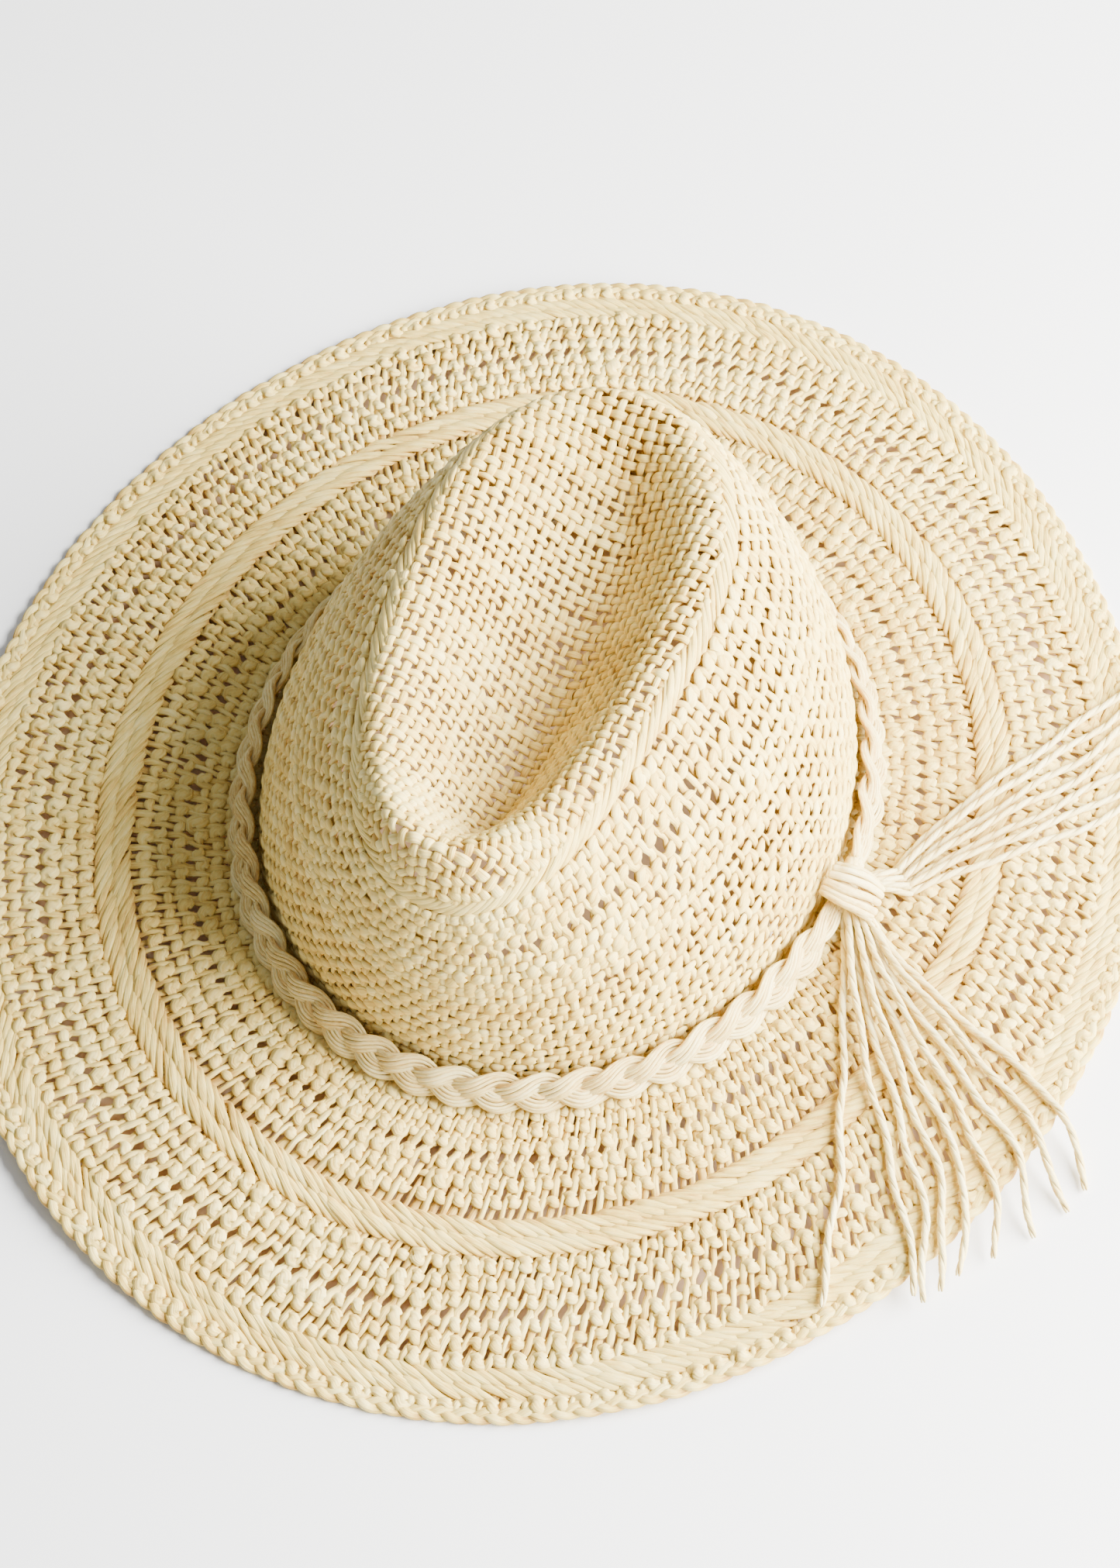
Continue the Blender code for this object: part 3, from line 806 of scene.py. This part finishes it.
def yarn_height(x, y, travelled, upper):
    angle, share = brim_place(x, y)
    on_brim = float(brim_underside(angle, min(share, 1.0))) + WEAVE + YARN_CLEARANCE + YARN_RADIUS
    if share > 1:
        beyond = (share - 1) * (BRIM_HALF_WIDTH - CROWN_HALF_WIDTH)
        on_brim += (YARN_FLOOR - on_brim) * float(eased(beyond / DROOP_RUN))
    if upper:
        start, end = LAYER_RUN
        on_brim += YARN_LAYER * (1 - float(eased((travelled - start) / (end - start))))
    return on_brim


def yarn_points(route, number):
    """A yarn's middle line, as in the CAD script."""
    plan = smooth_points([Vector((x / 1e4, y / 1e4, 0)) for x, y in route], YARN_STEP)
    points = []
    for k, point in enumerate(plan):
        travelled = YARN_STEP * k
        heading = plan[min(k + 1, len(plan) - 1)] - plan[max(k - 1, 0)]
        aside = Vector((-heading.y, heading.x, 0.0)).normalized()
        swing = math.sin(TAU * travelled / SWAY_LENGTH + SWAY_TURN * number)
        place = point + aside * (YARN_SWAY * min(1.0, travelled / SWAY_START) * swing)
        points.append((place.x, place.y, yarn_height(place.x, place.y, travelled, number % 2 == 1)))
    return points


PLIES = 2
PLY_RADIUS = 0.00090
PLY_OFFSET = 0.00042           # from a yarn's middle line to the middle of a ply
PLY_PITCH = 0.0150


def twisted(web, line, phase, sides, ends=1.0):
    """A yarn: plies twisted around a middle line of points. Its last 6 mm narrow to a share, ends."""
    line = np.array(line, float)
    side, lead = sides_of(line, np.array([0.0, 0.0, 1.0]))
    run = run_along(line)
    for number in range(PLIES):
        turn = phase + TAU * (run / PLY_PITCH + number / PLIES)
        away = PLY_OFFSET * (1 + 0.12 * drift(web.random, len(line), 8, closed=False))
        outward = side * np.cos(turn)[:, None] + lead * np.sin(turn)[:, None]
        centre = line + outward * away[:, None]
        radius = PLY_RADIUS * (1 + 0.10 * drift(web.random, len(line), 6, closed=False))
        radius = radius * np.interp(run, [0, run[-1] - 0.006, run[-1]], [1, 1, ends])
        # Shade is painted on each ply's lower side
        web.sweep(centre, outward, radius * 1.08, radius * 0.9, sides=sides, blunt=1.0,
                  dip_shade=np.clip(0.35 - 0.35 * np.sin(turn), 0, 1))


def fine_line(points, step):
    return np.array([tuple(p) for p in smooth_points([Vector(p) for p in points], step)])


yarn_starts = {"front_yarn": [], "side_yarn": []}


def add_yarns():
    """Both tassels: each yarn is two plies of paper, twisted."""
    for prefix, routes, seed in (("front_yarn", FRONT_YARNS, 100), ("side_yarn", SIDE_YARNS, 150)):
        for number, route in enumerate(routes):
            path = yarn_points(route, number)
            yarn_starts[prefix].append(path[:2])
            web = Web(seed + number)
            line = fine_line(path, 0.0011)
            twisted(web, line, phase=1.3 * number, sides=8, ends=0.6)
            node = f"{prefix}_{number + 1}"
            piece = finished(web.build(f"loose_{node}", "plait_straw"), "band", "band_straw", node)


add_yarns()


# --- Brim and crown
def add_rows(web, surface, warps, bands, level_of, lift, half_width, half_thick, slant, close=0.0):
    """The plain rows of a set of bands. The rows beside the holes move together by close where there are none."""
    parity = 0
    kinds = ["", *(kind for kind, _ in bands), ""]
    for number, (kind, share) in enumerate(bands):
        if kind == "row":
            beside = (kinds[number + 2] == "holes") - (kinds[number] == "holes")
            weave_row(web, surface, warps, level_of(share), parity, lift, half_width, half_thick, slant,
                      close * beside)
            parity += 1


def add_brim():
    surface = make_brim_surface()
    for label, warps, bands, row_width, seed in (("inner", BRIM_INNER_WARPS, BRIM_INNER_BANDS, 0.00172, 13),
                                                 ("outer", BRIM_OUTER_WARPS, BRIM_OUTER_BANDS, 0.00174, 17)):
        web = Web(11 if label == "inner" else 12)
        add_rows(web, surface, warps, bands, brim_level, lift=0.00052, half_width=row_width, half_thick=0.00068,
                 slant=0.00080)
        straw_piece(web, f"brim_rows_{label}", "brim")
        for half in range(2):
            web = Web(seed + half)
            weave_warps(web, surface, warps, bands, brim_level, lift=0.00060, half_width=0.00108,
                        half_thick=0.00056, pinch=0.00072, every=(half, 2))
            straw_piece(web, f"brim_warps_{label}_{half + 1}", "brim")
    for label, seed, cycles, shares in (("inner", 15, 46, (0.442, 0.490)), ("outer", 19, 60, (0.866, 0.906))):
        web = Web(seed)
        for share in shares:
            weave_rope(web, surface, brim_level(share), width=0.0062, cycles=cycles, high=0.00034, low=-0.0008,
                       half_width=0.00122, half_thick=0.00064)
        straw_piece(web, f"brim_float_band_{label}", "brim")
    web = Web(16)
    weave_plait(web, surface, brim_level(0.970), swing=0.0016, depth=0.00050, cycles=62, half_width=0.00132,
                half_thick=0.00075)
    straw_piece(web, "brim_selvedge", "brim")


def inside_ring(points, ring):
    """Whether points are inside the ring in plan."""
    x, y = points[..., 0], points[..., 1]
    inside = np.zeros(x.shape, bool)
    for a, b in zip(ring, np.roll(ring, -1, axis=0)):
        crosses = (a[1] > y) != (b[1] > y)
        with np.errstate(divide="ignore", invalid="ignore"):
            at = a[0] + (y - a[1]) * (b[0] - a[0]) / (b[1] - a[1])
        inside ^= crosses & (x < at)
    return inside


NET_END_DIP = 0.0006           # how far a thread's ends dip below the ring where the top begins


def net_threads(web, surface, ring, across, lift, half_width, half_thick):
    """The top's threads in one direction, each over and under the other direction's."""
    fine = TOP_FINE
    points, normals = surface.points, surface.normals
    if not across:
        points, normals = points.transpose(1, 0, 2), normals.transpose(1, 0, 2)
    side = surface.across if across else surface.along.transpose(1, 0, 2)
    inside = inside_ring(points, ring)
    sign = 1.0 if across else -1.0
    lines = (points.shape[1] - 1) // fine + 1
    for line in range(lines):
        column = line * fine
        held = np.flatnonzero(inside[:, column])
        for run in np.split(held, np.flatnonzero(np.diff(held) > 1) + 1):
            if len(run) < 3 * fine:
                continue
            picked = np.arange(max(0, run[0] - 2), min(points.shape[0], run[-1] + 3))
            wave = np.cos(PI * (picked / fine + line))
            shaped = sign * np.sign(wave) * np.abs(wave) ** 0.8
            rough = drift(web.random, len(picked), fine, closed=False)
            width = half_width * (1 + 0.16 * web.random.normal())
            far = np.zeros(len(picked))
            far[:3] = far[-3:] = 1.0
            rise = lift * shaped * (1 + 0.20 * rough) * (1 - far) - NET_END_DIP * far
            aside = 0.00055 * drift(web.random, len(picked), 12, closed=False) + 0.00022 * rough
            normal = normals[picked, column]
            centre = points[picked, column] + normal * rise[:, None] + side[picked, column] * aside[:, None]
            # Shade is painted where a thread dips under the crossing threads
            web.sweep(centre, normal, width * (1 + 0.14 * shaped + 0.14 * rough),
                      half_thick, dip_shade=0.5 - 0.5 * shaped, blunt=0.8)


def add_crown():
    surface = make_crown_surface()
    for label, bands, seed in (("low", CROWN_LOW_BANDS, 21), ("high", CROWN_HIGH_BANDS, 22)):
        web = Web(seed)
        add_rows(web, surface, CROWN_WARPS, bands, lambda share: share, lift=0.00052, half_width=0.00154,
                 half_thick=0.00066, slant=0.00060, close=0.014)
        straw_piece(web, f"crown_rows_{label}", "crown")
        web = Web(seed + 2)
        weave_warps(web, surface, CROWN_WARPS, bands, lambda share: share, lift=0.00056, half_width=0.00122,
                    half_thick=0.00054, pinch=0.00085, partly=True)
        straw_piece(web, f"crown_warps_{label}", "crown")
    web = Web(25)
    weave_rope(web, surface, level=0.972, width=0.0060, cycles=26, high=0.00036, low=-0.0006,
               half_width=0.00104, half_thick=0.00058)
    straw_piece(web, "crown_float_bands", "crown")
    ring = surface.at(np.arange(352) / 352, 0.985)[0][:, :2]
    net = make_top_surface()
    web = Web(26)
    net_threads(web, net, ring, across=True, lift=0.00064, half_width=0.00112, half_thick=0.00060)
    net_threads(web, net, ring, across=False, lift=0.00064, half_width=0.00110, half_thick=0.00060)
    straw_piece(web, "crown_top_weave", "crown")


add_brim()
add_crown()


# --- Plaited band and knot
STRAND_KEEP = 0.54             # a strand is wide, so its middle swings less than the CAD script's slim one
STRAND_YARNS = 12
STRAND_PITCH = 0.085           # how far a strand's yarns run to go once around it
STRAND_WIDE = 0.00265          # from a strand's middle to its yarns, across its flat side and through it
STRAND_FLAT = 0.00062
STRAND_YARN_RADIUS = 0.00056


def band_line(strand, step):
    """A strand's middle line at steps of the plait, closing towards the knot at both ends."""
    phase = TAU * (step / BAND_STEPS + strand / 3)
    angle = TAU * step / (BAND_CYCLES * BAND_STEPS)
    near = np.minimum(step - step[0], step[-1] - step)
    keep = STRAND_KEEP * (0.30 + 0.70 * eased(near / 4.5))
    out = keep * (STRAND_DEPTH * np.sin(2 * phase) - 1.15 * STRAND_LEAN * np.sin(phase))
    return np.stack([(CROWN_HALF_WIDTH + BAND_OFFSET + out) * np.cos(angle),
                     CROWN_SHIFT + (CROWN_HALF_LENGTH + BAND_OFFSET + out) * np.sin(angle),
                     BAND_HEIGHT + keep * STRAND_SWING * np.sin(phase)], axis=-1)


def add_band():
    for strand in range(3):
        step = np.linspace(BAND_START - 0.8, BAND_END + 1.2, 700)
        web = Web(31 + strand)
        line = band_line(strand, step)
        side, lead = sides_of(line, unit(line * np.array([1.0, 0.75, 0.0])) + np.array([0.0, 0.0, 0.62]))
        run = run_along(line)
        for yarn in range(STRAND_YARNS):
            turn = TAU * (run / STRAND_PITCH + yarn / STRAND_YARNS)
            rough = drift(web.random, len(line), 10, closed=False)
            centre = (line + side * (STRAND_WIDE * np.cos(turn) * (1 + 0.1 * rough))[:, None]
                      + lead * (STRAND_FLAT * np.sin(turn))[:, None])
            radius = STRAND_YARN_RADIUS * (1 + 0.20 * drift(web.random, len(line), 9, closed=False))
            # Shade is painted on each strand's inner, lower side; the raised level also darkens the band's own colour
            # towards tan
            web.sweep(centre, lead, radius * 1.1, radius * 0.9, sides=7, blunt=1.0,
                      dip_shade=np.clip(0.90 + 0.4 * np.cos(turn + 2.0), 0, 1.3))
        finished(web.build(f"plait_strand_{strand + 1}", "plait_straw"), "band", "band_straw",
                 f"band_strand_{strand + 1}")


KNOT_FALL = 0.0050              # how far the upper end turns down towards the front
KNOT_YARNS = 11
KNOT_SOURCES = {"front_yarn": (0.0968, -0.0020, 0.0130), "side_yarn": (0.0985, 0.0040, 0.0125)}


def add_knot():
    """Each end of the band: flat bundles of yarns, one over the other, and the yarns that run on into the tassels."""
    for name, route, width, rise, seed in (("knot_over", KNOT_OVER, 0.0060, 0.0011, 41),
                                           ("knot_under", KNOT_UNDER, 0.0042, 0.0022, 42)):
        line = fine_line(route, 0.0009)
        if name == "knot_over":
            line[:, 1] -= KNOT_FALL * np.linspace(0, 1, len(line))
        side, outward = sides_of(line, line - np.array([0.080, 0.0, 0.008]))
        share = np.linspace(0, 1, len(line))
        # The bundle is widest in its middle and closes towards the ends
        spread = width * (0.84 + 0.16 * np.sin(PI * share) ** 0.8)
        web = Web(seed)
        for yarn in range(KNOT_YARNS):
            turn = TAU * yarn / KNOT_YARNS + 0.5 * share
            wobble = drift(web.random, len(line), 9, closed=False)
            centre = (line + side * (spread * np.cos(turn) + 0.00025 * wobble)[:, None]
                      + outward * (rise * np.sin(turn) + 0.00020 * wobble)[:, None])
            facing = outward * np.sin(turn)[:, None] + side * (np.cos(turn) * 0.5)[:, None]
            # Shade is painted on the yarns on the bundle's inner side, towards the crown
            web.sweep(centre, facing, 0.00126 * (1 + 0.12 * wobble), 0.00092, sides=8, blunt=1.0,
                      dip_shade=0.55 - 0.30 * np.sin(turn), taper=0.8)
        if name == "knot_under":
            for prefix, starts in yarn_starts.items():
                source = np.array(KNOT_SOURCES[prefix])
                for number, (first, second) in enumerate(starts):
                    first, second = np.array(first), np.array(second)
                    away = first + (second - first) * 0.25
                    root = source + (number / len(starts) - 0.5) * (np.array(starts[-1][0]) - starts[0][0]) * 0.45
                    bend = (root + first) / 2 + np.array([0, 0, 0.0010])
                    twisted(web, fine_line([root, bend, first, away], 0.0010), phase=1.3 * number, sides=7)
        finished(web.build(f"{name}_wrap", "plait_straw"), "band", "band_straw", name)


add_band()
add_knot()


# --- Sweatband and its stitches
def wall_share(height):
    return (height - CROWN_BASE) / (RIDGE_HEIGHT - CROWN_BASE) * (1 - 0.5 * RIDGE_ROLL)


RIBS = 620
RIB_DEPTH = 0.00012
RIBBON_LENGTH = 0.56
# Heights up the ribbon, from its lower edge and then from its upper edge, and how thick its two hems are
LOWER_HEM = (0.0001, 0.0010, 0.0022)
UPPER_HEM = (-0.0016, -0.0008, -0.0001)
LOWER_HEM_DEPTH = 0.00025
UPPER_HEM_DEPTH = 0.0002


def add_sweatband():
    """A ribbed ribbon with a folded hem at each edge."""
    count = RIBS * 3
    angles = TAU * np.arange(count) / count
    outer = WEAVE + SWEATBAND_GAP
    inner = outer + SWEATBAND_THICKNESS
    rib = np.array([0.0, 1.0, 0.35])[np.arange(count) % 3] * RIB_DEPTH
    heights = np.concatenate([SWEATBAND_LOW + np.array(LOWER_HEM),
                              np.linspace(SWEATBAND_LOW + 0.0027, SWEATBAND_HIGH - 0.0020, 10),
                              SWEATBAND_HIGH + np.array(UPPER_HEM)])
    hem = np.repeat([LOWER_HEM_DEPTH, 0.0, UPPER_HEM_DEPTH], [len(LOWER_HEM), 10, len(UPPER_HEM)])
    rings = [wall_point(angles, wall_share(h), outer - extra * 0.5 - rib * 0.3) for h, extra in zip(heights, hem)]
    rings += [wall_point(angles, wall_share(h), inner + extra - rib) for h, extra in zip(heights[::-1], hem[::-1])]
    points = np.array(rings)
    rows = len(points)
    index = np.arange(rows * count).reshape(rows, count)
    up = np.roll(index, -1, axis=0)
    web = Web(51)
    web.points = [points.reshape(-1, 3)]
    web.quads = [np.stack([index, np.roll(index, -1, axis=1), np.roll(up, -1, axis=1), up], axis=-1).reshape(-1, 4)]
    web.tones = [np.full(rows * count, 0.5)]
    # Shade is painted between the ribs, where the rib offset is nothing
    web.dip_shades = [np.tile(0.5 - rib / (2 * RIB_DEPTH), rows)]
    around = np.arange(count + 1) * (RIBBON_LENGTH / count)
    climb = run_along(points[:, 0])
    climb = np.append(climb, climb[-1] + 0.001)[:, None]
    web.uvs = [map_corners(around[:-1], around[1:], climb[:-1], climb[1:])]
    finished(web.build("sweatband_ribbon", "cotton_ribbon"), "hat", "ribbon", "sweatband")


STITCHES = 150
STITCH_SHARE = 0.36            # half the share of its pitch that a stitch shows


def add_stitches():
    """Running stitches through the ribbon's lower hem."""
    web = Web(52)
    inset = WEAVE + SWEATBAND_GAP + SWEATBAND_THICKNESS + STITCH_GAP + STITCH_RADIUS
    samples = np.linspace(-STITCH_SHARE, STITCH_SHARE, 7)
    angles = TAU * (np.arange(STITCHES)[:, None] + samples[None]) / STITCHES
    dip = 0.0009 * np.clip(np.abs(samples) / STITCH_SHARE, 0, 1) ** 3
    centre = wall_point(angles, wall_share(STITCH_HEIGHT), inset - dip)
    outward = -np.stack([np.cos(angles), np.sin(angles), np.zeros_like(angles)], axis=-1)
    web.sweep(centre, outward, 0.00034, 0.0003, sides=6, blunt=1.0, taper=0.7)
    finished(web.build("sweatband_stitches", "cotton_thread"), "hat", "thread", "sweatband_stitching")


add_sweatband()
add_stitches()


# --- Floor and light
FLOOR_PAINT = (0.86, 0.87, 0.88, 1)
# Painted light: the floor under the hat, warm as the light that comes through straw
PAINTED_STRAW_LIGHT = (0.950, 0.680, 0.420, 1)
FLOOR_REACH = 8.0
FLOOR_LEVEL = -0.0004
KEY_PLACE = (0.88, 0.24, 0.56)
KEY_TARGET = (0, 0, 0.03)
KEY_POWER = 152.0
KEY_SIZE = 1.20
KEY_COLOR = (1.0, 0.985, 0.955)
SKY_COLOR = (0.93, 0.97, 1.0, 1)
SKY_STRENGTH = 0.45


def add_floor():
    """A pale floor. Under the hat it is painted with the warm colour of the light that comes through real straw."""
    made = plain_material("floor_paint", FLOOR_PAINT, 0.75)
    nodes, links = made.node_tree.nodes, made.node_tree.links
    place, squeeze = nodes.new("ShaderNodeTexCoord"), nodes.new("ShaderNodeMapping")
    set_inputs(squeeze, Scale=(1 / (BRIM_HALF_WIDTH * 0.985), 1 / (BRIM_HALF_LENGTH * 0.985), 1.0))
    links.new(place.outputs["Object"], squeeze.inputs["Vector"])
    away = nodes.new("ShaderNodeVectorMath")
    away.operation = "LENGTH"
    links.new(squeeze.outputs[0], away.inputs[0])
    # Painted light under the brim, fading out towards its edge
    painted_light = nodes.new("ShaderNodeValToRGB")
    for element, position, color in zip(painted_light.color_ramp.elements, (0.90, 1.00), (PAINTED_STRAW_LIGHT, FLOOR_PAINT)):
        element.position, element.color = position, color
    links.new(away.outputs["Value"], painted_light.inputs[0])
    links.new(painted_light.outputs[0], nodes["Principled BSDF"].inputs["Base Color"])
    mesh = bpy.data.meshes.new("floor")
    corners = ((-1, -1), (1, -1), (1, 1), (-1, 1))
    mesh.from_pydata([(x * FLOOR_REACH, y * FLOOR_REACH, FLOOR_LEVEL) for x, y in corners], [], [(0, 1, 2, 3)])
    mesh.materials.append(made)
    floor = bpy.data.objects.new("floor", mesh)
    bpy.context.scene.collection.objects.link(floor)


def add_light():
    """One broad soft lamp on the wearer's left, and an even sky."""
    data = bpy.data.lights.new("key", "AREA")
    data.energy, data.shape, data.size, data.color = KEY_POWER, "DISK", KEY_SIZE, KEY_COLOR
    light = bpy.data.objects.new("key", data)
    light.location = KEY_PLACE
    light.rotation_euler = (Vector(KEY_PLACE) - Vector(KEY_TARGET)).to_track_quat("Z", "Y").to_euler()
    bpy.context.scene.collection.objects.link(light)
    world = bpy.data.worlds.new("studio")
    world.use_nodes = True
    set_inputs(world.node_tree.nodes["Background"], Color=SKY_COLOR, Strength=SKY_STRENGTH)
    bpy.context.scene.world = world


add_floor()
add_light()
